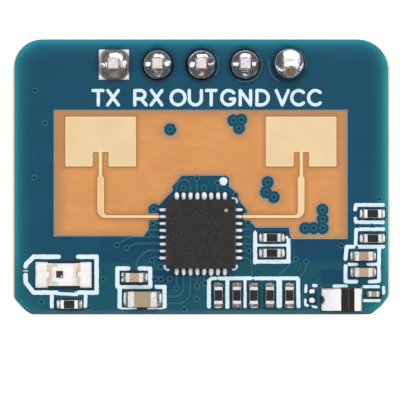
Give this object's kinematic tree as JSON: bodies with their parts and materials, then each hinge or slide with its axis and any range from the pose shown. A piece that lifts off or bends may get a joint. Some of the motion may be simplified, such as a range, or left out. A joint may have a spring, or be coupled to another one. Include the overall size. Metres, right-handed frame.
{
  "type": "microwave radar sensor module",
  "caption": "Small presence-sensing circuit board with patch antennas on bare laminate, a square radar chip, an indicator light and a pin header soldered in from the back.",
  "frame": {"origin": "on the middle header pin's axis, in the plane of the header housing's underside, which lies against the board that the module is plugged into or soldered to", "axes": "+Z out of the antenna face, +X along the header row, +Y towards the header's edge of the board, -Z along the pins to their free ends"},
  "size_m": [0.022, 0.016, 0.0111],
  "materials": {
    "laminate": "bare glass-epoxy laminate",
    "solder_mask": "satin, dark blue-green",
    "antenna_copper": "pale gold plated copper",
    "land_metal": "tinned copper",
    "header_plastic": "moulded black",
    "pin_metal": "tinned",
    "solder": "bright, reflowed",
    "chip_plastic": "moulded, fine grain",
    "lead_metal": "tinned",
    "resistor_body": "black glaze, silver ends",
    "capacitor_body": "tan ceramic, silver ends",
    "protection_body": "black, silver ends",
    "led_base": "white board",
    "led_metal": "gold plated",
    "led_die": "dark square die",
    "led_lens": "clear resin",
    "crystal_ceramic": "ceramic",
    "crystal_metal": "plated lid"
  },
  "bodies": {
    "root": {"antenna_left": "antenna_copper", "antenna_right": "antenna_copper", "back_capacitor_1": "capacitor_body", "back_capacitor_2": "capacitor_body", "back_capacitor_3": "capacitor_body", "back_capacitor_4": "capacitor_body", "back_lands": "land_metal", "back_solder": "solder", "capacitor_1": "capacitor_body", "capacitor_2": "capacitor_body", "capacitor_3": "capacitor_body", "capacitor_4": "capacitor_body", "capacitor_small": "capacitor_body", "circuit_board": "laminate", "crystal_base": "crystal_ceramic", "crystal_lid": "crystal_metal", "front_lands": "land_metal", "front_solder": "solder", "header_housing": "header_plastic", "header_lands": "land_metal", "header_pin_1": "pin_metal", "header_pin_2": "pin_metal", "header_pin_3": "pin_metal", "header_pin_4": "pin_metal", "header_pin_5": "pin_metal", "led_base": "led_base", "led_die": "led_die", "led_lens": "led_lens", "led_metal": "led_metal", "microcontroller": "chip_plastic", "microcontroller_leadframe": "lead_metal", "protection_chip": "protection_body", "radar_chip": "chip_plastic", "radar_chip_leadframe": "lead_metal", "radar_chip_solder": "solder", "regulator": "chip_plastic", "regulator_leads": "lead_metal", "resistor_1": "resistor_body", "resistor_10": "resistor_body", "resistor_2": "resistor_body", "resistor_3": "resistor_body", "resistor_4": "resistor_body", "resistor_5": "resistor_body", "resistor_6": "resistor_body", "resistor_7": "resistor_body", "resistor_8": "resistor_body", "resistor_9": "resistor_body", "solder_joint_1": "solder", "solder_joint_2": "solder", "solder_joint_3": "solder", "solder_joint_4": "solder", "solder_joint_5": "solder", "solder_mask_back": "solder_mask", "solder_mask_front": "solder_mask"}
  },
  "joints": []
}
